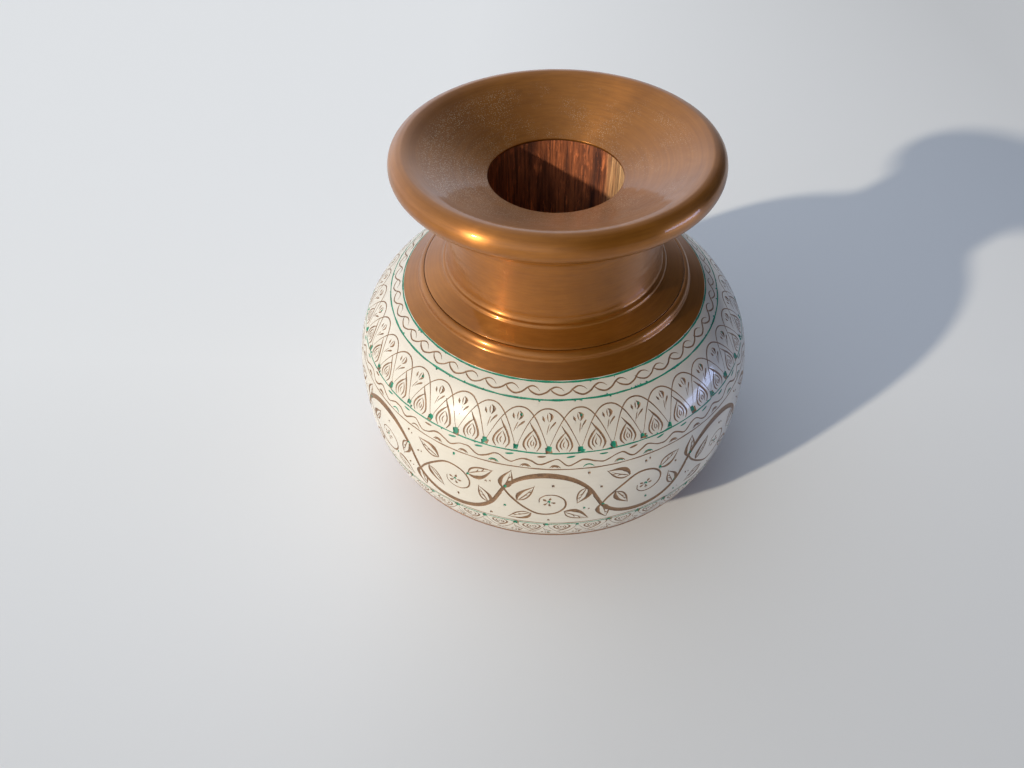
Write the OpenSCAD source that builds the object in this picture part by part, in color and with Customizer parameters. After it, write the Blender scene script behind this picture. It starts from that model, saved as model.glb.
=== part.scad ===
// Lathe-turned wooden pot with a flared mouth, a straight drilled bore and a round belly.
// The neck block is glued into the belly block by a spigot. Coloured lac is laid over the wood
// in thin coats: bronze on neck, collar and foot, and green, brown and cream, one over the
// other, on the belly, where the pattern is engraved down through them.
// Millimetres. Origin at the centre of the base, +Z up along the turning axis.

/* [Belly] */
// Radius of the belly at its widest, over the lac
belly_r = 63.4; // [61:0.1:66]
// Height of the widest point above the base
belly_z = 41.3; // [40.5:0.1:42]
// Height of the upper half of the belly curve
belly_up = 41.8; // [41:0.1:43]
// Roundness of the upper half, 2 is an ellipse and more is squarer
belly_up_n = 2.47; // [2.2:0.01:2.8]
// Height of the lower half of the belly curve
belly_down = 42.7; // [41:0.1:44]
// Roundness of the lower half
belly_down_n = 2.84; // [2.4:0.01:3]

/* [Foot] */
// Radius of the flat face that the pot rests on
foot_r = 34; // [30:0.5:36]
// Height of the turned edge above the flat face
foot_edge = 2; // [1.5:0.1:2.5]
// Height at which the bronze foot band meets the cream
foot_band_z = 19.2; // [14:0.1:24]
// Radius of the recess under the base
recess_r = 26; // [15:0.5:29]
// Depth of the recess under the base
recess_d = 1.2; // [0.5:0.1:3]

/* [Lac coats] */
// Thickness of the cream coat
cream_t = 0.25; // [0.15:0.01:0.4]
// Thickness of the brown coat under the cream
brown_t = 0.2; // [0.1:0.01:0.4]
// Thickness of the green coat on the wood
green_t = 0.15; // [0.1:0.01:0.3]

/* [Collar] */
// Height at which the collar meets the cream of the belly
collar_z = 73.9; // [73:0.1:74.5]
// Outer radius of the bead round the collar
bead_r = 41.3; // [41:0.1:42]
// Height of the bead above its foot
bead_h = 1.7; // [1.4:0.1:1.9]
// Radius at which the neck block meets the collar
joint_r = 39.5; // [39:0.1:39.6]
// Height of the seat of the neck block
joint_z = 77.9; // [77.7:0.1:78]
// Width of the fine groove left at the joint
joint_gap = 0.2; // [0.15:0.05:0.3]

/* [Neck] */
// Radius of the neck
neck_r = 32.2; // [31:0.1:32.8]
// How far the neck draws in at its waist
neck_waist = 0.35; // [0.1:0.05:1]
// Height at which the neck starts above its ring
neck_z = 84.6; // [83.6:0.1:85]
// Radius of the rounding of the ring at the neck's foot
ring_round = 0.8; // [0.7:0.05:0.9]
// Rounding between the neck and that ring
ring_cove = 0.8; // [0.65:0.05:0.9]
// Slope of the shoulder between ring and joint, degrees
shoulder_slope = 23; // [20:0.5:26]

/* [Mouth] */
// Radius of the ring along the middle of the lip
lip_ring_r = 41.9; // [41.5:0.1:43]
// Height of the middle of the lip
lip_z = 114.8; // [114:0.1:116]
// Rounding of the lip
lip_round = 3.9; // [3.6:0.1:4.3]
// Height of the cove between neck and lip
cove_h = 12; // [10:0.1:13]
// Height of the edge of the bore
bore_edge_z = 108.8; // [108:0.1:110]
// Radius at which the cone of the funnel starts to turn into the lip
funnel_r = 38.8; // [36:0.1:39.5]
// Radius at which that cone would meet the level of the top of the lip
crown_r = 41; // [40.6:0.1:41.3]

/* [Bore and spigot] */
// Diameter of the drilled bore
bore_d = 38; // [30:0.1:42]
// Height of the bottom of the bore above the base
bore_floor_z = 16; // [12:0.5:24]
// Diameter of the spigot that is glued into the belly
spigot_d = 54; // [48:0.5:60]
// Length of the spigot below the joint
spigot_l = 24; // [15:0.5:30]

/* [Hidden] */
$fn = 180;
curve_n = 44;
bore_r = bore_d / 2;
spigot_r = spigot_d / 2;
spigot_z = joint_z - spigot_l;
lac_t = cream_t + brown_t + green_t;

// Point of an ellipse about [cx, cz], at the angle a from +X
function oval(cx, cz, rx, rz, a) = [cx + rx * cos(a), cz + rz * sin(a)];
// Points of that ellipse from angle a0 to a1
function sweep(cx, cz, rx, rz, a0, a1, n) =
    [for (i = [0 : n]) oval(cx, cz, rx, rz, a0 + (a1 - a0) * i / n)];
// Points of a curve that leaves a towards b and comes to c from b
function bend(a, b, c, n) =
    [for (i = [0 : n]) let (k = i / n) (1 - k) * (1 - k) * a + 2 * k * (1 - k) * b + k * k * c];
function backwards(path) = [for (i = [len(path) - 1 : -1 : 0]) path[i]];
// Normal to the right of the way a path runs, at its point i
function side(path, i) =
    let (d = path[min(i + 1, len(path) - 1)] - path[max(i - 1, 0)])
    [d.y, -d.x] / norm(d);
// The path moved by t to its right, with its two ends cut off upright
function inset(path, t) =
    let (last = len(path) - 1)
    [for (i = [0 : last])
        let (n = side(path, i))
        i == 0 || i == last ? [path[i].x, path[i].y + t / n.y] : path[i] + t * n];

// Belly curve: half height and roundness of its half, then a point at the angle a and depth t
function half_h(a) = a < 0 ? belly_down : belly_up;
function half_n(a) = a < 0 ? belly_down_n : belly_up_n;
function belly_angle(z) =
    let (s = sign(z - belly_z), q = abs(z - belly_z) / half_h(s))
    s * asin(pow(q, half_n(s) / 2));
function belly_point(a, t) =
    let (n = half_n(a), c = pow(cos(a), 2 / n), s = pow(abs(sin(a)), 2 / n),
         out = [pow(c, n - 1) / belly_r, sign(a) * pow(s, n - 1) / half_h(a)])
    [belly_r * c, belly_z + sign(a) * half_h(a) * s] - t * out / norm(out);
// Belly curve at depth t, from height z0 down to height z1
function belly_path(z0, z1, t) =
    let (a0 = belly_angle(z0), a1 = belly_angle(z1))
    [for (i = [0 : curve_n]) belly_point(a0 + (a1 - a0) * i / curve_n, t)];

// Outside of the mouth and neck, from the edge of the bore over the lip and down to the joint
shoulder_z = joint_z + 1.1;
ring_r = neck_r + ring_round;
ring_z = shoulder_z + (joint_r - ring_r - ring_round) * tan(shoulder_slope);
lip_top_z = lip_z + lip_round;
bore_edge = [bore_r, bore_edge_z];
crown = [crown_r, lip_top_z];
funnel_end = bore_edge + (crown - bore_edge) * (funnel_r - bore_r) / (crown_r - bore_r);
cove_z = lip_z - lip_round - cove_h;
neck_path = concat(
    [bore_edge],
    [for (i = [1 : 6]) bore_edge + (funnel_end - bore_edge) * i / 7],
    bend(funnel_end, crown, [lip_ring_r, lip_top_z], 8),
    sweep(lip_ring_r, lip_z, lip_round, lip_round, 80, -90, 18),
    sweep(lip_ring_r, cove_z, neck_r - lip_ring_r, cove_h, 80, 0, 10),
    [for (i = [1 : 11]) let (k = i / 12)
        [neck_r - neck_waist * 4 * k * (1 - k), cove_z + (neck_z - cove_z) * k]],
    sweep(neck_r + ring_cove, neck_z, ring_cove, neck_z - ring_z - ring_round, 180, 270, 3),
    sweep(ring_r, ring_z, ring_round, ring_round, 90, 0, 8),
    [[joint_r - joint_gap / 2 - 0.3, shoulder_z + 0.1], [joint_r - joint_gap / 2, shoulder_z - 0.1]]);

// Outside of the collar, from the joint over the bead and down to the cream
bead_z = joint_z - 0.9;
collar_in = joint_r + joint_gap / 2;
collar_end = belly_point(belly_angle(collar_z), 0);
collar_path = concat(
    sweep(collar_in, bead_z, bead_r - collar_in, bead_h, 90, 0, 10),
    sweep(bead_r + 0.6, bead_z, 0.6, 1, 200, 260, 4));

module turned(path) { rotate_extrude() polygon(path); }

// A coat of lac on the belly between two depths
module belly_coat(t0, t1) {
    turned(concat(belly_path(collar_z, foot_band_z, t0),
                  backwards(belly_path(collar_z, foot_band_z, t1))));
}

module neck_block() {
    color("saddlebrown") turned(concat(
        inset(neck_path, lac_t),
        [[joint_r - joint_gap / 2, joint_z], [spigot_r, joint_z], [spigot_r, spigot_z],
         [bore_r, spigot_z]]));
}

module belly_block() {
    color("peru") turned(concat(
        [[0, bore_floor_z], [bore_r, bore_floor_z], [bore_r, spigot_z], [spigot_r, spigot_z],
         [spigot_r, joint_z], [collar_in, joint_z]],
        inset(collar_path, lac_t),
        belly_path(collar_z, foot_edge, lac_t),
        [[foot_r, 0], [recess_r, 0], [recess_r, recess_d], [0, recess_d]]));
}

module neck_coat() {
    color("darkgoldenrod") turned(concat(neck_path, backwards(inset(neck_path, lac_t))));
}

module collar_coat() {
    color("darkgoldenrod") turned(concat(
        collar_path, [collar_end, belly_point(belly_angle(collar_z), lac_t)],
        backwards(inset(collar_path, lac_t))));
}

module green_coat() { color("seagreen") belly_coat(cream_t + brown_t, lac_t); }

module brown_coat() { color("sienna") belly_coat(cream_t, cream_t + brown_t); }

module cream_coat() { color("antiquewhite") belly_coat(0, cream_t); }

module foot_coat() {
    color("darkgoldenrod") turned(concat(
        belly_path(foot_band_z, foot_edge, 0), backwards(belly_path(foot_band_z, foot_edge, lac_t))));
}

neck_block();
belly_block();
neck_coat();
collar_coat();
green_coat();
brown_coat();
cream_coat();
foot_coat();
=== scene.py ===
"""Looks for a lathe-turned wooden pot, coated with coloured lac and engraved by hand.

The belly's three coats are one cut surface here. The pattern is drawn as strokes of a graver on
the unrolled belly, the strokes are cut into a triangulated sheet as real grooves, and the sheet
is wrapped back round the belly: cream where the coat is left, brown or green inside the cuts.
The pot's lengths are in millimetres until a mesh is made. Camera, lights and floor are in metres.
"""

import math
import random

import bpy
import numpy as np
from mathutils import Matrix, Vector, geometry


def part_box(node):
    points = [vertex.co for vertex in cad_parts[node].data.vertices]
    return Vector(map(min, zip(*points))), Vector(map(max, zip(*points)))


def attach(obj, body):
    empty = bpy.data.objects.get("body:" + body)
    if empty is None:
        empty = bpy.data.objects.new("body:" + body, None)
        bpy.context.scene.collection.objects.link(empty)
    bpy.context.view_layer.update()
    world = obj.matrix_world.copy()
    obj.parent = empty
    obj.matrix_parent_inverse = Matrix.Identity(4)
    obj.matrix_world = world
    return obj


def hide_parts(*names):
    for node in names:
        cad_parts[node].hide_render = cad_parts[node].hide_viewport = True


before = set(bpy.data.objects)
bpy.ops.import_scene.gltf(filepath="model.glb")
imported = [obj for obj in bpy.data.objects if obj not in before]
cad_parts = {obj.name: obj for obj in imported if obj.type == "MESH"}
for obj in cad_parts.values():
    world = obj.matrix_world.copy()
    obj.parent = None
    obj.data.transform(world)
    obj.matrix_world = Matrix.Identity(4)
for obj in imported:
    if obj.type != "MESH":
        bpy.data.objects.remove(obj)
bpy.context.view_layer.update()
MM = 0.001
BODY = "root"
rng = random.Random(11)

# ---------------------------------------------------------------- camera, floor and lights

LENS_MM = 27.1
CAMERA_PLACE = (0, -0.1893, 0.2250)
CAMERA_TARGET = (-0.0137, 0, 0.0228)
CAMERA_ROLL = -1.52
KEY_BEARING = (218.3, 21.6)
KEY_WIDTH = 1.8
WINDOW_BEARING = (-7, 6.5)
WINDOW_AWAY = 0.9
WINDOW_SIZE = (0.44, 0.13)
SKY_STRENGTH = 1.40
FLOOR_HALF = 2.5


def aim(obj, target, roll=0.0):
    """Turns obj so that it looks at target, level but for the roll in radians."""
    look = (Vector(target) - obj.location).to_track_quat("-Z", "Y")
    obj.rotation_euler = look.to_euler()
    obj.rotation_euler.rotate_axis("Z", roll)


def add_camera():
    data = bpy.data.cameras.new("camera")
    data.lens = LENS_MM
    data.clip_start = 0.01
    camera = bpy.data.objects.new("camera", data)
    camera.location = CAMERA_PLACE
    aim(camera, CAMERA_TARGET, math.radians(CAMERA_ROLL))
    bpy.context.collection.objects.link(camera)
    bpy.context.scene.camera = camera
    bpy.context.scene.view_settings.view_transform = "Standard"


def bearing(azimuth, elevation):
    """Unit vector at an azimuth counted from +X towards +Y and an elevation, both in degrees."""
    az, el = math.radians(azimuth), math.radians(elevation)
    return Vector((math.cos(az) * math.cos(el), math.sin(az) * math.cos(el), math.sin(el)))


def add_light(name, kind, energy, colour, place, target, **shape):
    data = bpy.data.lights.new(name, kind)
    data.energy = energy
    data.color = colour
    for setting, value in shape.items():
        setattr(data, setting, value)
    light = bpy.data.objects.new(name, data)
    light.location = place
    aim(light, target)
    bpy.context.collection.objects.link(light)
    return light


def add_key():
    """A distant, low and warm lamp at the left of the camera, soft at the edges of its shadow."""
    add_light("key", "SUN", 3.0, (1.0, 0.905, 0.73), bearing(*KEY_BEARING), (0, 0, 0),
              angle=math.radians(KEY_WIDTH))


def add_window():
    """A wide, low, violet-blue window at the right. It greys the cream on that side, hardly lights
    the bronze, and shows as soft glints in the clear top of the lac."""
    window = add_light("window", "AREA", 1.9, (0.46, 0.58, 1.0), bearing(*WINDOW_BEARING) * WINDOW_AWAY,
                       (0, 0, 0.05), shape="RECTANGLE", size=WINDOW_SIZE[0], size_y=WINDOW_SIZE[1])
    window.visible_camera = False


# Where the sky is dim: a direction, the cosines at which the dimming starts and ends, and what is left
SKY_DIMS = (
    ((0, 0, 1), 0.35, 1.0, 0.50),
    (bearing(-6, 12), -0.20, 0.62, 0.03),
)


def add_world():
    """Pale cool light all round near the horizon, dimmer overhead, and a dim room on the right."""
    world = bpy.data.worlds.new("studio")
    world.use_nodes = True
    tree = world.node_tree
    background = tree.nodes["Background"]
    place = tree.nodes.new("ShaderNodeTexCoord")
    strength = tree.nodes.new("ShaderNodeValue").outputs[0]
    strength.default_value = SKY_STRENGTH
    for towards, start, end, left in SKY_DIMS:
        dot = tree.nodes.new("ShaderNodeVectorMath")
        dot.operation = "DOT_PRODUCT"
        dot.inputs[1].default_value = towards
        tree.links.new(place.outputs["Generated"], dot.inputs[0])
        fall = tree.nodes.new("ShaderNodeMapRange")
        fall.interpolation_type = "SMOOTHSTEP"
        fall.inputs["From Min"].default_value = start
        fall.inputs["From Max"].default_value = end
        fall.inputs["To Min"].default_value = 1.0
        fall.inputs["To Max"].default_value = left
        tree.links.new(dot.outputs["Value"], fall.inputs["Value"])
        joined = tree.nodes.new("ShaderNodeMath")
        joined.operation = "MULTIPLY"
        tree.links.new(strength, joined.inputs[0])
        tree.links.new(fall.outputs["Result"], joined.inputs[1])
        strength = joined.outputs[0]
    tree.links.new(strength, background.inputs["Strength"])
    background.inputs["Color"].default_value = (0.77, 0.86, 1.0, 1)
    bpy.context.scene.world = world


def add_floor():
    """Plain white paper with painted shade: its colour grows darker towards the right and the front."""
    corners = [(x * FLOOR_HALF, y * FLOOR_HALF, 0) for x, y in ((-1, -1), (1, -1), (1, 1), (-1, 1))]
    mesh = bpy.data.meshes.new("floor")
    mesh.from_pydata(corners, [], [(0, 1, 2, 3)])
    floor = bpy.data.objects.new("floor", mesh)
    bpy.context.collection.objects.link(floor)
    s = Shader("floor_paper", Roughness=0.75)
    x, y, _ = s.xyz()
    # Painted shade: the paper's colour falls off towards +X and -Y, standing in for weaker light there.
    s.colour(s.math("MULTIPLY", s.span(x, -0.06, 0.28, 0.92, 0.62), s.span(y, -0.17, 0.03, 0.78, 1.0)))
    mesh.materials.append(s.material)


# ---------------------------------------------------------------- materials


class Shader:
    """A Principled material and the few node helpers that the materials below share. Places in it
    are in metres, as the node reads them off the object."""

    def __init__(self, name, **values):
        self.material = bpy.data.materials.new(name)
        self.material.use_nodes = True
        self.tree = self.material.node_tree
        self.bsdf = self.tree.nodes["Principled BSDF"]
        for socket, value in values.items():
            self.bsdf.inputs[socket.replace("_", " ")].default_value = value
        self.place = self.node("ShaderNodeTexCoord").outputs["Object"]

    def node(self, kind, **settings):
        made = self.tree.nodes.new(kind)
        for name, value in settings.items():
            setattr(made, name, value)
        return made

    def link(self, source, target):
        self.tree.links.new(source, target)

    def feed(self, socket, value):
        """Sets a socket to a number or a colour, or links an output to it."""
        if isinstance(value, (int, float)):
            socket.default_value = value
        elif isinstance(value, tuple):
            socket.default_value = (*value, 1)
        else:
            self.link(value, socket)

    def math(self, operation, a, b=0.0):
        made = self.node("ShaderNodeMath", operation=operation)
        self.feed(made.inputs[0], a)
        self.feed(made.inputs[1], b)
        return made.outputs[0]

    def fibres(self, along):
        """The place with its height scaled down: noise on it is drawn out along the axis."""
        made = self.node("ShaderNodeVectorMath", operation="MULTIPLY")
        self.link(self.place, made.inputs[0])
        made.inputs[1].default_value = (1, 1, along)
        return made.outputs[0]

    def xyz(self):
        split = self.node("ShaderNodeSeparateXYZ")
        self.link(self.place, split.inputs[0])
        return split.outputs

    def reach(self, x, y):
        """The distance from the axis."""
        return self.math("SQRT", self.math("ADD", self.math("MULTIPLY", x, x), self.math("MULTIPLY", y, y)))

    def rings(self, drift):
        """Distance from the axis, height and a little of the side: noise on it runs in rings round
        the lathe's axis, which change slowly on the way round."""
        x, y, z = self.xyz()
        reach = self.reach(x, y)
        side = self.math("DIVIDE", x, self.math("ADD", reach, 0.001))
        joined = self.node("ShaderNodeCombineXYZ")
        self.link(reach, joined.inputs[0])
        self.link(z, joined.inputs[1])
        self.link(self.math("MULTIPLY", side, drift), joined.inputs[2])
        return joined.outputs[0]

    def noise(self, vector, scale, detail, roughness):
        made = self.node("ShaderNodeTexNoise")
        self.link(vector, made.inputs["Vector"])
        made.inputs["Scale"].default_value = scale
        made.inputs["Detail"].default_value = detail
        made.inputs["Roughness"].default_value = roughness
        return made.outputs["Fac"]

    def cells(self, vector, scale):
        """The distance from the middle of the nearest cell."""
        made = self.node("ShaderNodeTexVoronoi")
        self.link(vector, made.inputs["Vector"])
        made.inputs["Scale"].default_value = scale
        return made.outputs["Distance"]

    def span(self, value, low, high, to_low=0.0, to_high=1.0):
        """The value taken from one range to another, and held at its ends."""
        made = self.node("ShaderNodeMapRange")
        self.link(value, made.inputs["Value"])
        made.inputs["From Min"].default_value = low
        made.inputs["From Max"].default_value = high
        made.inputs["To Min"].default_value = to_low
        made.inputs["To Max"].default_value = to_high
        return made.outputs["Result"]

    def mix(self, factor, a, b):
        made = self.node("ShaderNodeMix", data_type="RGBA")
        self.feed(made.inputs[0], factor)
        self.feed(made.inputs[6], a)
        self.feed(made.inputs[7], b)
        return made.outputs[2]

    def colour(self, output):
        self.link(output, self.bsdf.inputs["Base Color"])

    def rough(self, output):
        self.link(output, self.bsdf.inputs["Roughness"])

    def bump(self, height, distance_mm, strength):
        made = self.node("ShaderNodeBump")
        made.inputs["Strength"].default_value = strength
        made.inputs["Distance"].default_value = distance_mm * MM
        self.link(height, made.inputs["Height"])
        self.link(made.outputs["Normal"], self.bsdf.inputs["Normal"])


def shade(colour, factor):
    """The colour, lighter or darker by a factor."""
    return tuple(min(1, c * factor) for c in colour)


def dust_mouth(s, base, dark, amount):
    """Pale specks inside the mouth, denser on its left and in front of the bore, and a few stains."""
    x, y, z = s.xyz()
    reach = s.reach(x, y)
    inside = s.math("MULTIPLY", s.span(z, 0.1085, 0.1090), s.span(reach, 0.0385, 0.0350))
    sideways = s.math("ADD", x, s.math("MULTIPLY", y, 0.5))
    left = s.span(sideways, 0.016, -0.026, -0.09, 0.10)
    front = s.math("MULTIPLY", s.span(y, -0.010, -0.020), s.span(reach, 0.0300, 0.0240, 0.0, 0.24))
    patches = s.math("ADD", s.noise(s.place, 70, 5, 0.75), s.math("ADD", left, front))
    specks = s.math("MULTIPLY", s.span(s.cells(s.place, 2400), 0.38, 0.16), s.span(patches, 0.40, 0.62))
    base = s.mix(s.math("MULTIPLY", s.math("MULTIPLY", specks, inside), amount), base, (0.66, 0.47, 0.29))
    stain = s.span(s.noise(s.place, 130, 5, 0.7), 0.60, 0.74, 0.0, 0.35)
    return s.mix(s.math("MULTIPLY", stain, inside), base, shade(dark, 0.4))


def bronze_lac(name, dark, light, dusty=0.0):
    """Lac with bronze powder in it, turned: satin metal whose gloss is drawn out across fine rings,
    under a thin clear top."""
    s = Shader(name, Metallic=0.65, Coat_Weight=0.45, Coat_Roughness=0.08,
               Anisotropic=0.80, Anisotropic_Rotation=0.25)
    tangent = s.node("ShaderNodeTangent", direction_type="RADIAL", axis="Z")
    s.link(tangent.outputs[0], s.bsdf.inputs["Tangent"])
    rings = s.noise(s.rings(0.004), 1500, 4, 0.6)
    clouds = s.noise(s.place, 42, 4, 0.6)
    base = s.mix(s.span(clouds, 0.3, 0.7), dark, light)
    base = s.mix(s.span(rings, 0.38, 0.75, 0.0, 0.35), base, shade(dark, 0.55))
    if dusty:
        base = dust_mouth(s, base, dark, dusty)
    s.colour(base)
    s.rough(s.span(s.noise(s.rings(0.02), 700, 3, 0.6), 0.3, 0.7, 0.30, 0.40))
    s.bump(rings, 0.012, 0.35)
    return s.material


def cream_lac(name):
    """Polished cream lac: slightly uneven in tone, fine scratches round the axis, a soft gloss."""
    s = Shader(name, Coat_Weight=0.6, Coat_Roughness=0.09, IOR=1.45)
    clouds = s.noise(s.place, 38, 4, 0.55)
    rings = s.noise(s.rings(0.003), 900, 3, 0.55)
    base = s.mix(s.span(clouds, 0.32, 0.7), (0.555, 0.500, 0.415), (0.610, 0.556, 0.470))
    base = s.mix(s.span(rings, 0.5, 0.8, 0.0, 0.25), base, (0.50, 0.44, 0.35))
    fleck = s.span(s.cells(s.place, 420), 0.10, 0.04)
    base = s.mix(s.math("MULTIPLY", fleck, 0.35), base, (0.45, 0.35, 0.25))
    s.colour(base)
    s.rough(s.span(s.noise(s.rings(0.01), 600, 4, 0.6), 0.3, 0.7, 0.34, 0.48))
    s.bump(s.noise(s.place, 700, 3, 0.5), 0.010, 0.5)
    return s.material


def cut_lac(name, dark, light, metallic, patch, patch_amount):
    """The fresh floor of a cut: scraped lac, streaked, with patches of the coat below."""
    s = Shader(name, Metallic=metallic)
    scrape = s.noise(s.place, 1400, 3, 0.65)
    clouds = s.noise(s.place, 260, 3, 0.6)
    base = s.mix(s.span(scrape, 0.3, 0.72), dark, light)
    base = s.mix(s.span(clouds, 0.60, 0.66, 0.0, patch_amount), base, patch)
    s.colour(base)
    s.rough(s.span(scrape, 0.3, 0.7, 0.38, 0.6))
    s.bump(scrape, 0.04, 0.7)
    return s.material


def wood(name, dark, light, lit_side_colour, lit_from_x, lit_to_x):
    """Bored wood: torn grain along the axis, darker pores, and painted light: the wood is paler on the +X
    side, where the lamp falls into the bore, setting in between two places in millimetres."""
    s = Shader(name)
    fibres = s.noise(s.fibres(0.05), 1300, 6, 0.72)
    figure = s.noise(s.fibres(0.12), 240, 5, 0.65)
    torn = s.noise(s.fibres(0.22), 620, 4, 0.7)
    heart = s.mix(s.span(figure, 0.36, 0.62), dark, light)
    heart = s.mix(s.span(torn, 0.54, 0.62, 0.0, 0.75), heart, shade(light, 1.8))
    side = s.math("ADD", s.xyz()[0], s.span(figure, 0.0, 1.0, -0.004, 0.004))
    # Painted light: the colour turns paler on the +X side, where the lamp lights the bore.
    base = s.mix(s.span(side, lit_from_x * MM, lit_to_x * MM), heart, lit_side_colour)
    base = s.mix(s.span(fibres, 0.42, 0.62, 0.0, 0.75), base, shade(dark, 0.4))
    s.colour(base)
    s.rough(s.span(fibres, 0.3, 0.7, 0.5, 0.75))
    s.bump(s.math("SUBTRACT", torn, fibres), 0.3, 0.8)
    return s.material


def dress(node, material):
    """Gives a material to a CAD node that shows as it is."""
    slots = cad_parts[node].data.materials
    slots.clear()
    slots.append(material)


# ---------------------------------------------------------------- the belly's curve

cream_low, cream_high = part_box("cream_coat")
BELLY_R = cream_high.x / MM
COLLAR_Z = cream_high.z / MM
FOOT_BAND_Z = cream_low.z / MM
# Height of the widest point, then the height and the roundness of the halves above and below it
BELLY_Z = 41.3
HALF_H = {1: 41.8, -1: 42.7}
HALF_N = {1: 2.47, -1: 2.84}
FOOT_EDGE_Z = 2.0
# Thickness of the belly's three coats together, and of each bronze coat
LAC = 0.6
# Radius of the drum on which the belly is unrolled, and the way round it
REF = 60.0
AROUND = 2 * math.pi * REF


def belly_angle(z):
    """The belly curve's angle at a height."""
    s = 1 if z >= BELLY_Z else -1
    return s * math.asin((abs(z - BELLY_Z) / HALF_H[s]) ** (HALF_N[s] / 2))


def belly_point(a):
    """Radius, height and outward normal of the belly at the curve's angle a."""
    s = 1 if a >= 0 else -1
    n = HALF_N[s]
    c, k = math.cos(a) ** (2 / n), abs(math.sin(a)) ** (2 / n)
    out = (c ** (n - 1) / BELLY_R, s * k ** (n - 1) / HALF_H[s])
    size = math.hypot(*out)
    return BELLY_R * c, BELLY_Z + s * HALF_H[s] * k, out[0] / size, out[1] / size


def belly_table(count=3000):
    """Rows of radius, height and normal from collar to foot edge, with the length run so far."""
    angles = np.linspace(belly_angle(COLLAR_Z), belly_angle(FOOT_EDGE_Z), count)
    rows = np.array([belly_point(a) for a in angles])
    steps = np.hypot(np.diff(rows[:, 0]), np.diff(rows[:, 1]))
    return np.concatenate([[0], np.cumsum(steps)]), rows


RUN, CURVE = belly_table()


def run_at(z):
    """Length along the curve from the collar down to the height z."""
    return float(np.interp(-z, -CURVE[:, 1], RUN))


def radius_at(run):
    """Radius of the belly at a length along its curve."""
    return float(np.interp(run, RUN, CURVE[:, 0]))


def wrap(x, run, depth):
    """Points and normals on the pot of unrolled places x, run that lie depth under the surface.
    x is counted from the front, round towards +X, on a drum of radius REF."""
    r, z, nr, nz = (np.interp(run, RUN, CURVE[:, i]) for i in range(4))
    turn = x / REF
    across, ahead = np.sin(turn), -np.cos(turn)
    rr, zz = r - depth * nr, z - depth * nz
    return (np.stack([rr * across, rr * ahead, zz], 1) * MM,
            np.stack([nr * across, nr * ahead, nz], 1))


# ---------------------------------------------------------------- strokes of the graver

BROWN, GREEN = "brown", "green"


def v_depth(width):
    """Depth of a V cut, which grows with its width up to a limit."""
    return min(0.24, width * 0.27)


class Stroke:
    """A cut along points (x on the drum, run), with its half width at each point.
    A V cut is deepest at its middle. A flat cut has a level floor between sloping edges.
    k turns a length round the drum into one round the pot."""

    def __init__(self, points, half, kind, radius, deep, flat_edge=None):
        self.points = np.asarray(points, float)
        self.half = np.asarray(half, float)
        self.kind = kind
        self.k = radius / REF
        self.deep = deep
        self.flat_edge = flat_edge
        reach = self.half.max() / self.k + 0.3
        self.low = self.points.min(0) - reach
        self.high = self.points.max(0) + reach

    def sides(self, shrink=0.0):
        """The two outlines of the cut, on the drum."""
        p = self.points * [self.k, 1]
        d = np.gradient(p, axis=0)
        d /= np.linalg.norm(d, axis=1)[:, None] + 1e-9
        out = np.stack([d[:, 1], -d[:, 0]], 1) * np.maximum(self.half - shrink, 0.02)[:, None]
        return (p + out) / [self.k, 1], (p - out) / [self.k, 1]

    def measure(self, places):
        """Distance from the middle of the cut and its half width there, at unrolled places."""
        p = self.points * [self.k, 1]
        q = places * [self.k, 1]
        a, ab = p[:-1], np.diff(p, axis=0)
        t = ((q[:, None] - a) * ab).sum(2) / ((ab * ab).sum(1) + 1e-12)
        t = np.clip(t, 0, 1)
        d = np.linalg.norm(a + t[..., None] * ab - q[:, None], axis=2)
        i = d.argmin(1)
        row = np.arange(len(q))
        ti = t[row, i]
        return d[row, i], self.half[i] * (1 - ti) + self.half[i + 1] * ti

    def depth(self, places):
        """Depth of the cut at unrolled places."""
        d, half = self.measure(places)
        if self.flat_edge is None:
            return self.deep * np.clip(1 - d / half, 0, 1)
        return self.deep * np.clip((half - d) / self.flat_edge, 0, 1)


def smooth(control, steps):
    """A Catmull-Rom curve through the control points."""
    c = np.asarray(control, float)
    c = np.vstack([2 * c[0] - c[1], c, 2 * c[-1] - c[-2]])
    out = []
    for i in range(1, len(c) - 2):
        for t in np.arange(steps) / steps:
            a, b, d, e = c[i - 1 : i + 3]
            out.append(0.5 * (2 * b + (d - a) * t + (2 * a - 5 * b + 4 * d - e) * t * t
                              + (3 * b - a - 3 * d + e) * t ** 3))
    out.append(c[-2])
    return np.array(out)


def wander(amount):
    """A seeded slip of the hand, up to amount either way."""
    return rng.uniform(-amount, amount)


class Band:
    """A belt of the belly between two runs. A motif is drawn in it in real millimetres, with u
    along the belt and v up from its lower edge, or down from its upper edge where it is flipped."""

    def __init__(self, top, bottom, flipped=False):
        self.top, self.bottom, self.flipped = top, bottom, flipped
        self.height = bottom - top
        self.radius = radius_at((top + bottom) / 2)
        self.length = 2 * math.pi * self.radius
        self.strokes = []

    def place(self, uv):
        """Unrolled places of points u, v of the belt."""
        uv = np.asarray(uv, float)
        run = self.top + uv[:, 1] if self.flipped else self.bottom - uv[:, 1]
        return np.stack([uv[:, 0] * REF / self.radius, run], 1)

    def cut(self, control, width, kind=BROWN, steps=5, taper=(0.25, 0.25), ends=(0.3, 0.3), deep=None,
            flat_edge=None):
        """A hand-cut stroke: full width in its middle, run out to a part of it at its ends."""
        line = smooth(control, steps)
        along = np.linspace(0, 1, len(line))
        swell = np.minimum(ends[0] + (1 - ends[0]) * along / max(taper[0], 0.01),
                           ends[1] + (1 - ends[1]) * (1 - along) / max(taper[1], 0.01))
        half = np.clip(swell, 0, 1) * width / 2 * (1 + wander(0.12))
        if deep is None:
            deep = v_depth(width)
        self.strokes.append(Stroke(self.place(line), half, kind, self.radius, deep, flat_edge))


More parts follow.
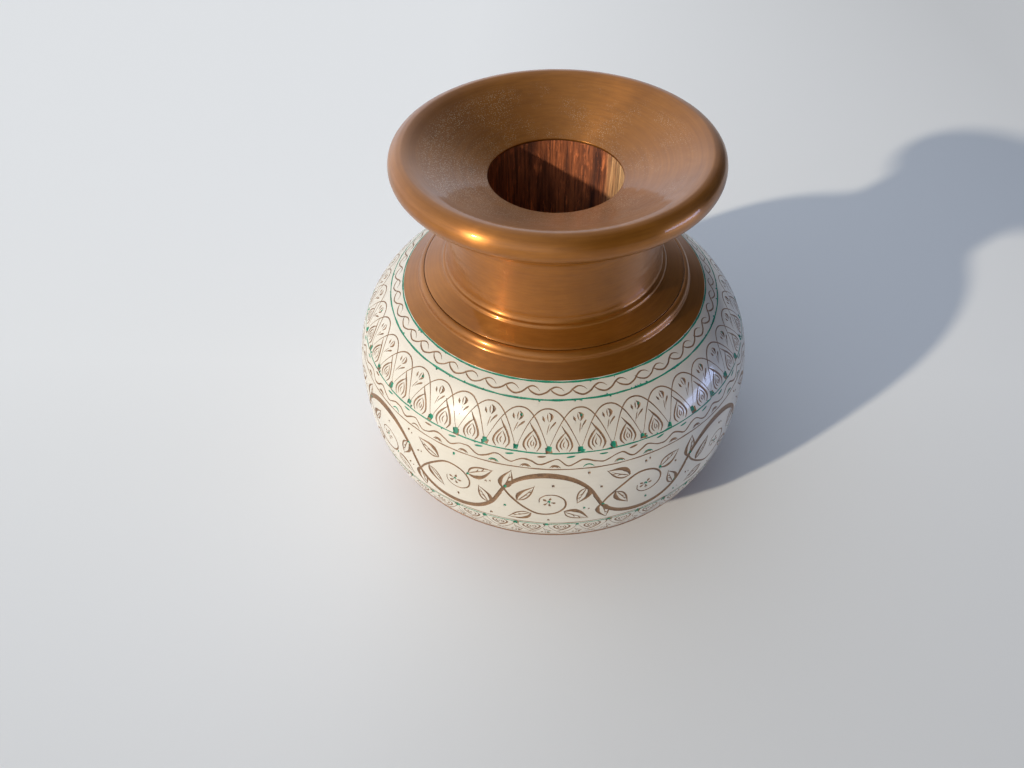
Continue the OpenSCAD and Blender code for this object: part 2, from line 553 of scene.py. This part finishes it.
class Ring:
    """A line all round the belly, as strokes that meet at the same places in every sector."""

    def __init__(self, run, width, kind, wave=None, step=1.6):
        self.run, self.width, self.kind, self.wave = run, width, kind, wave
        self.count = round(AROUND / step)
        self.phases = [rng.uniform(0, 2 * math.pi) for _ in range(4)]

    def wobble(self, turn, scale):
        """A smooth seeded unevenness that closes after a whole turn."""
        p = self.phases
        return scale * (0.5 * math.sin(9 * turn + p[0]) + 0.3 * math.sin(23 * turn + p[1])
                        + 0.2 * math.sin(61 * turn + p[2]))

    def stroke(self, x0, x1):
        """The stretch of the line that a sector from x0 to x1 needs."""
        step = AROUND / self.count
        xs = np.arange(math.floor(x0 / step) - 1, math.ceil(x1 / step) + 2) * step
        turns = xs / REF
        runs = [self.run + self.wobble(t, 0.09) for t in turns]
        if self.wave:
            amount, times = self.wave
            runs = [r - amount * (1 + self.wobble(2 * t, 0.35)) * math.sin(times * t + self.wobble(t, 0.8))
                    for r, t in zip(runs, turns)]
        half = [self.width / 2 * (1 + self.wobble(3 * t + 1, 0.35)) for t in turns]
        points = np.stack([xs, runs], 1)
        return Stroke(points, half, self.kind, radius_at(self.run), v_depth(self.width))


# ---------------------------------------------------------------- the pattern, band by band

# Where each band ends, as a run found from its height
GUILLOCHE_BOTTOM = run_at(70.9)
ARCADE_BOTTOM = run_at(59.6)
WAVE_BOTTOM = run_at(54.9)
SCROLL_BOTTOM = run_at(29.4)
CREAM_BOTTOM = run_at(FOOT_BAND_Z)
# How often each band's motif repeats
TWISTS = 50
ARCHES = 42
WAVES = 44
BAYS = 14
# Width of a bay that the vine's shapes are written for
BAY_WIDTH = 28.3
LEAVES = (
    ((4.9, -5.6), (12.0, -9.6), 3.6),
    ((-4.6, -7.0), (-11.8, -10.2), 3.2),
    ((-12.6, 3.4), (-10.8, 11.3), 3.2),
    ((11.3, 5.2), (8.6, -2.0), 3.0),
    ((-8.6, -1.2), (-4.0, 5.4), 2.6),
)


def guilloche():
    """Broken interlaced waves: each stroke dips, rises over the next one and runs out."""
    band = Band(0.3, GUILLOCHE_BOTTOM)
    pitch = band.length / TWISTS
    middle = band.height * 0.5
    shape = ((0.0, 0.45), (0.17, -0.40), (0.48, -0.98), (0.80, -0.45), (1.02, 0.45), (1.24, 0.95),
             (1.45, 0.72), (1.60, 0.05))
    for i in range(TWISTS):
        size = 1.25 + wander(0.10)
        start = i * pitch + wander(0.25)
        reach = pitch * (1 + wander(0.03))
        tilt = wander(0.12)
        line = [(start + x * reach, middle + y * size + tilt * x) for x, y in shape]
        band.cut(line, 0.46, taper=(0.15, 0.35), ends=(0.5, 0.2), steps=6)
    return band.strokes


def blob(band, u, v, size, kind, deep, stretch=1.0):
    """A small patch dug out with the graver's corner."""
    turn = wander(0.5)
    reach = size * 0.42 * stretch
    a = (u - reach * math.sin(turn), v + reach * math.cos(turn))
    b = (u + wander(0.08), v + wander(0.08))
    c = (u + reach * math.sin(turn), v - reach * math.cos(turn))
    band.cut([a, b, c], size, kind, steps=3, taper=(0.2, 0.3), ends=(0.75, 0.55 + wander(0.15)),
             deep=deep, flat_edge=0.22)


def arch(band, u, pitch):
    """One round arch that spans two pitches, over the foot in its middle."""
    h = band.height
    top = h * (0.865 + wander(0.012))
    foot = h * 0.13
    lean = wander(0.05)
    line = []
    for q in np.linspace(-1, 1, 19):
        w = math.copysign(abs(q) ** 0.9, q)
        fall = abs(w) ** 2.25
        line.append((u + (w * 0.96 + lean * (1 - fall)) * pitch, top - (top - foot) * fall))
    band.cut(line, 0.40, steps=2, taper=(0.35, 0.25), ends=(0.35, 0.4))


def teardrop(band, u, pitch):
    """Nested pointed drops in the foot between two arches, each of a left and a right stroke."""
    h = band.height
    size = 1 + wander(0.07)
    lean = wander(0.04)
    shift = u + wander(0.2)

    def cut(shape, width):
        line = [(shift + (x * size + lean * y * 2) * pitch, h * (0.03 + y * size)) for x, y in shape]
        band.cut(line, width, steps=4)

    cut([(0.03, 0.41), (-0.12, 0.31), (-0.24, 0.19), (-0.25, 0.09), (-0.15, 0.0)], 0.55)
    cut([(-0.11, 0.54), (0.0, 0.44), (0.13, 0.33), (0.23, 0.20), (0.25, 0.10), (0.15, 0.0)], 0.60)
    cut([(-0.02, 0.30), (-0.11, 0.21), (-0.14, 0.13), (-0.07, 0.05)], 0.40)
    cut([(0.0, 0.32), (0.10, 0.23), (0.13, 0.15), (0.07, 0.05)], 0.40)
    cut([(0.0, 0.22), (-0.045, 0.15), (0.0, 0.09)], 0.32)
    if rng.random() < 0.6:
        cut([(0.035, 0.19), (0.05, 0.14), (0.02, 0.10)], 0.34)


def petal(band, u, pitch):
    """A small filled leaf with a thin vein beside it, under the top of an arch, and three flicks."""
    h = band.height
    turn = -0.25 + wander(0.18)
    size = 0.86 + wander(0.08)
    v = h * (0.69 + wander(0.01))
    u += 0.15 + wander(0.2)

    def spot(x, y):
        x, y = x * size, y * size
        return (u + x * math.cos(turn) - y * math.sin(turn), v + x * math.sin(turn) + y * math.cos(turn))

    def cut(shape, width, **more):
        band.cut([spot(x, y) for x, y in shape], width, steps=4, **more)

    cut([(-0.35, 1.35), (0.55, 0.75), (0.80, -0.15), (0.30, -1.35)], 1.0 + wander(0.2),
        taper=(0.5, 0.5), ends=(0.12, 0.12), deep=0.19, flat_edge=0.24)
    cut([(-0.60, 1.15), (-0.50, 0.0), (-0.05, -1.25)], 0.40, taper=(0.4, 0.4), ends=(0.15, 0.15))
    if rng.random() < 0.3:
        blob(band, *spot(0.55, 0.5), 0.75, GREEN, 0.27, 1.1)
    cut([(-2.0, 0.05), (-1.6, -0.75), (-1.15, -1.45)], 0.72, ends=(0.2, 0.2), taper=(0.5, 0.5))
    cut([(2.15, -1.0), (1.55, -1.9), (0.95, -2.9), (0.6, -4.0)], 0.56, ends=(0.6, 0.1), taper=(0.2, 0.75))
    cut([(0.35, -1.9), (0.2, -3.2), (0.1, -5.2)], 0.24, ends=(0.3, 0.1))


def chip(band, u, v, size, kind, deep):
    """A small patch with straight sides, struck out with a flat-ended graver."""
    turn = wander(0.35)
    reach = size * (0.48 + wander(0.08))
    narrow, wide = sorted((0.75 + wander(0.2), 1.0))
    a = (u - reach * math.sin(turn), v + reach * math.cos(turn))
    c = (u + reach * math.sin(turn), v - reach * math.cos(turn))
    band.cut([a, c], size, kind, steps=1, ends=(wide, narrow) if rng.random() < 0.6 else (narrow, wide),
             taper=(1, 1), deep=deep, flat_edge=0.2)


def foot_mark(band, u):
    """The green mark at the foot of the arches, often inside a wider brown one."""
    v = band.height * (0.085 + wander(0.01))
    size = 1.50 + wander(0.22)
    if rng.random() < 0.6:
        chip(band, u + wander(0.3), v - 0.35, size + 0.40, BROWN, 0.15)
    chip(band, u + wander(0.15), v + wander(0.15), size, GREEN, 0.30)
    if rng.random() < 0.5:
        chip(band, u + wander(0.6), v - 0.6, size * 0.7, GREEN, 0.29)
    if rng.random() < 0.3:
        chip(band, u + 1.1 + wander(0.3), v - 0.75, 0.6, GREEN, 0.26)


def arcade(top, bottom, flipped=False):
    """Interlaced arches with a drop in each foot, a petal under each top and green marks between."""
    band = Band(top, bottom, flipped)
    pitch = band.length / ARCHES
    for i in range(ARCHES):
        u = i * pitch
        arch(band, u, pitch)
        teardrop(band, u + pitch / 2, pitch)
        petal(band, u, pitch)
        foot_mark(band, u)
    return band.strokes


def wave_fillers():
    """Green dashes over the troughs of the wavy line and small nested bows under its crests."""
    band = Band(ARCADE_BOTTOM, WAVE_BOTTOM)
    pitch = band.length / WAVES
    h = band.height
    for i in range(WAVES):
        crest = (i + 0.25) * pitch + wander(0.35)
        trough = crest + pitch / 2
        tilt = wander(0.12) + 0.1
        kind = GREEN if rng.random() < 0.8 else BROWN
        v = h * (0.80 + wander(0.02))
        band.cut([(trough - 1.2, v - tilt), (trough, v - 0.05), (trough + 1.2, v + tilt)], 0.55, kind,
                 steps=3)
        low = h * 0.10
        bows = 2 if rng.random() < 0.6 else 1
        for size in (1.55, 0.95)[:bows]:
            kind = GREEN if rng.random() < 0.25 else BROWN
            bow = [(-1, 0), (-0.5, size * 0.42), (0, size * 0.52), (0.55, size * 0.36), (1, -0.05)]
            band.cut([(crest + x * size, low + y) for x, y in bow], 0.42, kind, steps=3)
    return band.strokes


def jog(place, amount):
    """The place, moved a little each way."""
    x, y = place
    return (x + wander(amount), y + wander(amount))


def spoke(middle, reach, angle, squash=1.0):
    return (middle[0] + reach * math.cos(angle), middle[1] + reach * squash * math.sin(angle))


class Bay:
    """A bay of the vine. Its shapes are in millimetres across and up from its middle, written for
    a bay that opens downwards, and every other bay is turned over."""

    def __init__(self, band, index):
        pitch = band.length / BAYS
        self.band = band
        self.start = index * pitch
        self.reach = pitch / BAY_WIDTH
        self.way = 1 if index % 2 == 0 else -1

    def spot(self, x, y):
        """The belt's u, v for a point of the bay, kept inside the belt."""
        half = self.band.height / 2
        y = max(min(y, half - 0.2), 0.2 - half)
        return (self.start + x * self.reach, half + self.way * y)

    def bold(self, shape, width, **more):
        self.band.cut([self.spot(x, y) for x, y in shape], width, steps=6, deep=0.17, flat_edge=0.24, **more)

    def thin(self, shape, width, **more):
        self.band.cut([self.spot(x, y) for x, y in shape], width, steps=5, **more)

    def chip(self, place, size, kind, deep):
        chip(self.band, *self.spot(*place), size, kind, deep)

    def stem(self):
        """The stretch of the bold stem that arches over the bay."""
        shape = [(-14.9, -1.3), (-11.6, 4.9), (-6.6, 8.9), (0, 10.3), (6.6, 8.9), (11.6, 4.9), (14.9, -1.3)]
        self.bold(shape, 1.9, taper=(0.45, 0.45), ends=(0.5, 0.5))

    def flower(self):
        """A shoot that curls in round a flower of five petals with a green middle."""
        middle = jog((0.6, -0.9), 0.3)
        curl = [spoke(middle, 7.9 * 0.875 ** j, 3.55 + 0.75 * j, 0.95) for j in range(9)]
        self.thin([(-12.3, 3.2), (-10.4, 0.2)] + curl, 0.80, taper=(0.1, 0.8), ends=(0.8, 0.35))
        for j in range(5):
            angle = 2 * math.pi * j / 5 + wander(0.2)
            shape = [spoke(middle, reach, angle) for reach in (0.75, 1.4, 2.0)]
            self.thin(shape, 0.85, taper=(0.6, 0.3), ends=(0.3, 0.5))
        self.chip(middle, 0.9, GREEN, 0.30)

    def leaf(self, base, tip, wide):
        """A bold side, a thin side, a midrib and two veins."""
        (bx, by), (tx, ty) = base, tip
        dx, dy = tx - bx, ty - by
        half = wide / math.hypot(dx, dy) / 2

        def at(along, aside):
            return (bx + dx * along - dy * aside, by + dy * along + dx * aside)

        self.bold([at(0.0, 0.0), at(0.22, half * 0.9), at(0.55, half), at(1.0, 0.0)], 1.45 + wander(0.2),
                  taper=(0.45, 0.55), ends=(0.25, 0.12))
        self.thin([at(0.02, -0.01), at(0.25, -half * 0.9), at(0.58, -half * 0.85), at(1.03, 0.02)], 0.55,
                  ends=(0.4, 0.2))
        self.thin([at(0.08, -0.02), at(0.45, -0.03), at(0.82, -0.01)], 0.42,
                  ends=(0.5, 0.15), taper=(0.2, 0.6))
        for along in (0.35, 0.58):
            vein = [at(along, -0.03), at(along + 0.09, -half * 0.3), at(along + 0.17, -half * 0.62)]
            self.thin(vein, 0.34, ends=(0.5, 0.2))

    def dots(self):
        """Chips in the empty corners, then green ones where leaves join the stem."""
        for place in ((12.0, 10.4), (-12.6, -4.6), (10.9, -4.6), (0.2, -10.6), (1.6, 6.3)):
            x, y = jog(place, 0.4)
            self.chip((x, y), 0.8, GREEN if rng.random() < 0.3 else BROWN, 0.22)
            if rng.random() < 0.6:
                self.chip((x + 1.3, y - 0.5), 0.55, BROWN, 0.2)
        for place in ((-11.9, 4.2), (5.0, -5.4), (11.5, 4.8)):
            if rng.random() < 0.8:
                self.chip(jog(place, 0.2), 0.95, GREEN, 0.30)


def scroll_band():
    """A running vine. One bold stem sways round the belly. In each bay it sends out a shoot that
    curls round a small flower, and it bears veined leaves."""
    band = Band(WAVE_BOTTOM + 1.2, SCROLL_BOTTOM - 1.8)
    for index in range(BAYS):
        bay = Bay(band, index)
        bay.stem()
        bay.flower()
        for base, tip, wide in LEAVES:
            bay.leaf(base, jog(tip, 0.5), wide)
        bay.dots()
    return band.strokes


def burrs(run, count, size):
    """Nicks where the graver slipped along a green line."""
    band = Band(run - 1, run + 1)
    for _ in range(count):
        u = rng.uniform(0, band.length)
        blob(band, u, 1 + wander(0.35), size * (1 + wander(0.3)), GREEN, 0.22)
    return band.strokes


strokes = (guilloche() + arcade(GUILLOCHE_BOTTOM + 0.2, ARCADE_BOTTOM) + wave_fillers() + scroll_band()
           + arcade(SCROLL_BOTTOM, CREAM_BOTTOM - 0.3, flipped=True)
           + burrs(GUILLOCHE_BOTTOM, 70, 0.55) + burrs(0.5, 40, 0.4) + burrs(ARCADE_BOTTOM, 30, 0.4))
rings = [
    Ring(0.36, 0.52, GREEN),
    Ring(GUILLOCHE_BOTTOM, 0.52, GREEN),
    Ring(ARCADE_BOTTOM, 0.42, GREEN),
    Ring((ARCADE_BOTTOM + WAVE_BOTTOM) / 2 + 0.2, 0.44, BROWN, wave=(0.85, WAVES), step=0.55),
    Ring(WAVE_BOTTOM, 0.38, BROWN),
    Ring(SCROLL_BOTTOM - 0.9, 0.36, BROWN),
    Ring(SCROLL_BOTTOM - 0.1, 0.40, GREEN),
]


# ---------------------------------------------------------------- cutting the coats

CREAM = "cream"
# The belly is cut in upright strips. A grid carries its curve, and keeps some room beside each cut
SECTORS = 28
GRID = 1.5
ROWS = round(CREAM_BOTTOM / GRID)
COLS = round(AROUND / SECTORS / GRID)
ROOM = 0.22


def grid_points(x0, x1, cuts):
    """Points that carry the curve of the belly between the cuts."""
    spots = np.array([(x0 + (x1 - x0) * (c + 0.5 * (r % 2)) / COLS, CREAM_BOTTOM * r / ROWS)
                      for r in range(1, ROWS) for c in range(1, COLS)])
    keep = np.ones(len(spots), bool)
    for cut in cuts:
        near = np.all((spots > cut.low) & (spots < cut.high), axis=1) & keep
        if near.any():
            d, half = cut.measure(spots[near])
            keep[np.flatnonzero(near)[d < half + ROOM]] = False
    return spots[keep]


def border_points(x0, x1):
    """The four sides of a strip, with the same points on both of its upright sides."""
    return ([(x0 + (x1 - x0) * i / COLS, 0) for i in range(COLS)]
            + [(x1, CREAM_BOTTOM * i / ROWS) for i in range(ROWS)]
            + [(x1 - (x1 - x0) * i / COLS, CREAM_BOTTOM) for i in range(COLS)]
            + [(x0, CREAM_BOTTOM * (ROWS - i) / ROWS) for i in range(ROWS)])


def sector_cuts(x0, x1):
    """The cuts that reach into a strip, moved round the drum to it where that is needed."""
    cuts = [ring.stroke(x0, x1) for ring in rings]
    for stroke in strokes:
        for shift in (-AROUND, 0, AROUND):
            if stroke.high[0] + shift > x0 and stroke.low[0] + shift < x1:
                cuts.append(Stroke(stroke.points + [shift, 0], stroke.half, stroke.kind, stroke.k * REF,
                                   stroke.deep, stroke.flat_edge))
    return cuts


def cut_sector(x0, x1):
    """Triangulates one upright strip of the belly: unrolled points, depths, triangles and kinds."""
    cuts = sector_cuts(x0, x1)
    points, edges, faces = [], [], []

    def add(path, closed=False):
        first = len(points)
        points.extend(tuple(p) for p in path)
        if closed:
            faces.append(list(range(first, len(points))))
        else:
            edges.extend((i, i + 1) for i in range(first, len(points) - 1))

    add(border_points(x0, x1), closed=True)
    for cut in cuts:
        left, right = cut.sides()
        add([*left, *right[::-1]], closed=True)
        if cut.flat_edge is None:
            add(cut.points)
        else:
            for side in cut.sides(cut.flat_edge):
                add(side)
    points.extend(tuple(p) for p in grid_points(x0, x1, cuts))
    vectors = [Vector(p) for p in points]
    spots, _, found, _, _, origins = geometry.delaunay_2d_cdt(vectors, edges, faces, 0, 1e-5, True)
    flat = np.array([tuple(v) for v in spots])
    triangles, kinds = [], []
    for face, sources in zip(found, origins):
        if 0 not in sources:
            continue
        over = [cuts[i - 1] for i in sources if i > 0]
        deepest = max(over, key=lambda cut: cut.deep, default=None)
        triangles.append(face)
        kinds.append(deepest.kind if deepest else CREAM)
    depth = np.zeros(len(flat))
    for cut in cuts:
        near = np.all((flat > cut.low) & (flat < cut.high), axis=1)
        if near.any():
            depth[near] = np.maximum(depth[near], cut.depth(flat[near]))
    return flat, depth, np.array(triangles), np.array(kinds)


def weld(points):
    """The first of each group of points that coincide, and which group each point is in."""
    keys = np.round(points * 1e3).astype(np.int64)
    keys[:, 0] %= round(AROUND * 1e3)
    _, first, back = np.unique(keys, axis=0, return_index=True, return_inverse=True)
    return first, back.reshape(-1)


def make_mesh(name, verts, faces, material, normals=None):
    """A smooth-shaded object, with its own normals where they are given."""
    mesh = bpy.data.meshes.new(name)
    mesh.from_pydata(verts.tolist(), [], faces.tolist())
    mesh.validate()
    mesh.polygons.foreach_set("use_smooth", [True] * len(mesh.polygons))
    if normals is not None:
        mesh.normals_split_custom_set_from_vertices(normals.tolist())
    mesh.materials.append(material)
    piece = bpy.data.objects.new(name, mesh)
    bpy.context.collection.objects.link(piece)
    return piece


def engraved_belly(materials):
    """The cut belly as one piece for each coat that shows."""
    flats, depths, triangles, kinds, offset = [], [], [], [], 0
    for i in range(SECTORS):
        flat, depth, tris, kind = cut_sector(AROUND * i / SECTORS, AROUND * (i + 1) / SECTORS)
        flats.append(flat)
        depths.append(depth)
        triangles.append(tris + offset)
        kinds.append(kind)
        offset += len(flat)
    flat, depth = np.concatenate(flats), np.concatenate(depths)
    triangles, kinds = np.concatenate(triangles), np.concatenate(kinds)
    first, back = weld(flat)
    flat, depth, triangles = flat[first], depth[first], back[triangles]
    a, b, c = triangles.T
    solid = (a != b) & (b != c) & (a != c)
    triangles, kinds = triangles[solid][:, ::-1], kinds[solid]
    points, normals = wrap(flat[:, 0], flat[:, 1], depth)
    for kind, (name, node, slot, material) in materials.items():
        used, local = np.unique(triangles[kinds == kind], return_inverse=True)
        own = normals[used] if kind == CREAM else None
        piece = make_mesh(name, points[used], local.reshape(-1, 3), material, own)
        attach(piece, BODY)
        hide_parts(node)


# ---------------------------------------------------------------- turned pieces

_, mouth_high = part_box("neck_coat")
MOUTH_TOP_Z = mouth_high.z / MM
# The rest are the sizes of the CAD model's neck and collar
LIP_RING_R = 41.9
LIP_ROUND = 3.9
BORE_R = 19.0
BORE_EDGE_Z = 108.8
FUNNEL_R = 38.8
CROWN_R = 41.0
COVE_H = 12.0
NECK_R = 32.2
NECK_WAIST = 0.35
NECK_Z = 84.6
RING_ROUND = 0.8
RING_COVE = 0.8
SHOULDER_SLOPE = 23
JOINT_R = 39.5
JOINT_Z = 77.9
JOINT_GAP = 0.2
BEAD_R = 41.3
BEAD_H = 1.7
# Sides of a turned coat, and how close to its edges the smooth shading turns the corner
SEGMENTS = 224
CORNER = 0.06


def sweep(cx, cz, rx, rz, a0, a1, n):
    """Points of an ellipse about cx, cz from the angle a0 to a1."""
    angles = np.radians(np.linspace(a0, a1, n + 1))
    return [(cx + rx * math.cos(a), cz + rz * math.sin(a)) for a in angles]


def bend(a, b, c, n):
    """Points of a curve that leaves a towards b and comes to c from b."""
    a, b, c = (np.array(p, float) for p in (a, b, c))
    return [tuple((1 - k) ** 2 * a + 2 * k * (1 - k) * b + k * k * c) for k in np.linspace(0, 1, n + 1)]


def neck_path():
    """The outside of mouth and neck, from the edge of the bore over the lip and down to the joint."""
    lip_z = MOUTH_TOP_Z - LIP_ROUND
    shoulder_z = JOINT_Z + 1.1
    ring_r = NECK_R + RING_ROUND
    ring_z = shoulder_z + (JOINT_R - ring_r - RING_ROUND) * math.tan(math.radians(SHOULDER_SLOPE))
    edge, crown = np.array((BORE_R, BORE_EDGE_Z)), np.array((CROWN_R, MOUTH_TOP_Z))
    funnel_end = edge + (crown - edge) * (FUNNEL_R - BORE_R) / (CROWN_R - BORE_R)
    cove_z = lip_z - LIP_ROUND - COVE_H
    neck = [(NECK_R - NECK_WAIST * 4 * k * (1 - k), cove_z + (NECK_Z - cove_z) * k)
            for k in np.linspace(0, 1, 13)[1:-1]]
    return ([tuple(edge)] + [tuple(edge + (funnel_end - edge) * i / 7) for i in range(1, 7)]
            + bend(funnel_end, crown, (LIP_RING_R, MOUTH_TOP_Z), 12)
            + sweep(LIP_RING_R, lip_z, LIP_ROUND, LIP_ROUND, 80, -90, 30)
            + sweep(LIP_RING_R, cove_z, NECK_R - LIP_RING_R, COVE_H, 80, 0, 12)
            + neck
            + sweep(NECK_R + RING_COVE, NECK_Z, RING_COVE, NECK_Z - ring_z - RING_ROUND, 180, 270, 5)
            + sweep(ring_r, ring_z, RING_ROUND, RING_ROUND, 90, 0, 10)
            + [(JOINT_R - JOINT_GAP / 2 - 0.3, shoulder_z + 0.1),
               (JOINT_R - JOINT_GAP / 2, shoulder_z - 0.1)])


def collar_path():
    """The outside of the collar, from the joint over the bead and down to the cream."""
    bead_z = JOINT_Z - 0.9
    inner = JOINT_R + JOINT_GAP / 2
    end = (CURVE[0, 0], CURVE[0, 1])
    return (sweep(inner, bead_z, BEAD_R - inner, BEAD_H, 90, 0, 12)
            + sweep(BEAD_R + 0.6, bead_z, 0.6, 1, 200, 260, 5) + [end])


def foot_path():
    """The outside of the foot band, from the cream down to the turned edge."""
    runs = np.linspace(CREAM_BOTTOM, RUN[-1], 40)
    return [(float(np.interp(s, RUN, CURVE[:, 0])), float(np.interp(s, RUN, CURVE[:, 1]))) for s in runs]


def refined(path, spacing):
    """The path with points every spacing besides its own, and one just inside each end."""
    path = np.array(path, float)
    run = np.concatenate([[0], np.cumsum(np.hypot(*np.diff(path, axis=0).T))])
    places = np.unique(np.concatenate([np.arange(0, run[-1], spacing), run, [CORNER, run[-1] - CORNER]]))
    places = places[np.concatenate([[True], np.diff(places) > 0.05])]
    places[-1] = run[-1]
    return np.stack([np.interp(places, run, path[:, 0]), np.interp(places, run, path[:, 1])], 1)


def tooled(line, ridge, seed):
    """The closed section of a coat over line, with the faint ridges that the tool leaves on it."""
    d = np.gradient(line, axis=0)
    d /= np.linalg.norm(d, axis=1)[:, None]
    out = np.stack([-d[:, 1], d[:, 0]], 1)
    steps = np.random.default_rng(seed).normal(size=len(line) + 4)
    ridges = np.convolve(steps, np.ones(5) / 5, "valid") * ridge
    ridges[0] = ridges[-1] = 0
    under = (line - out * LAC)[::-4]
    under[0] = line[-1] - (0, LAC)
    under[-1] = line[0] - (0, LAC)
    return np.vstack([line + out * ridges[:, None], [line[-1] - (0, CORNER)], under,
                      [line[0] - (0, CORNER)]])


def turned(name, path, material, node, spacing=0.45, ridge=0.012):
    """A coat turned about the axis, closed underneath."""
    loop = tooled(refined(path, spacing), ridge, len(name))
    turns = np.arange(SEGMENTS) * 2 * math.pi / SEGMENTS
    verts = np.concatenate([np.stack([loop[:, 0] * math.sin(t), -loop[:, 0] * math.cos(t), loop[:, 1]], 1)
                            for t in turns]) * MM
    n = len(loop)
    i, j = np.meshgrid(np.arange(SEGMENTS), np.arange(n), indexing="ij")
    i2, j2 = (i + 1) % SEGMENTS, (j + 1) % n
    faces = np.stack([i * n + j, i * n + j2, i2 * n + j2, i2 * n + j], 2).reshape(-1, 4)
    piece = make_mesh(name, verts, faces, material)
    piece.data.update()
    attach(piece, BODY)
    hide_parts(node)


# ---------------------------------------------------------------- build

add_camera()
add_world()
add_key()
add_window()
add_floor()

BRONZE_DARK = (0.290, 0.099, 0.011)
brown = cut_lac("brown_lac", (0.135, 0.070, 0.034), (0.27, 0.150, 0.072), 0.15, (0.09, 0.05, 0.03), 0.5)
green = cut_lac("green_lac", (0.004, 0.11, 0.062), (0.004, 0.26, 0.145), 0.0, (0.03, 0.07, 0.035), 0.5)
neck_bronze = bronze_lac("neck_bronze", BRONZE_DARK, (0.41, 0.149, 0.019), dusty=0.9)
collar_bronze = bronze_lac("collar_bronze", BRONZE_DARK, (0.40, 0.146, 0.019))
foot_bronze = bronze_lac("foot_bronze", (0.25, 0.095, 0.020), (0.32, 0.125, 0.028))

engraved_belly({
    CREAM: ("cream_coat_cut", "cream_coat", "cream_lac", cream_lac("cream_lac")),
    BROWN: ("brown_coat_cuts", "brown_coat", "brown_lac", brown),
    GREEN: ("green_coat_cuts", "green_coat", "green_lac", green),
})
turned("neck_coat_turned", neck_path(), neck_bronze, "neck_coat")
turned("collar_coat_turned", collar_path(), collar_bronze, "collar_coat",
       spacing=0.2, ridge=0.01)
turned("foot_coat_turned", foot_path(), foot_bronze, "foot_coat")
# The last three values are painted light: a paler colour on the +X side of each bore, and where it sets in.
dress("neck_block",
      wood("neck_wood", (0.075, 0.018, 0.008), (0.40, 0.115, 0.038), (0.70, 0.40, 0.18), 14.5, 18.0))
dress("belly_block",
      wood("belly_wood", (0.22, 0.090, 0.040), (0.42, 0.20, 0.090), (0.52, 0.32, 0.17), 40, 60))
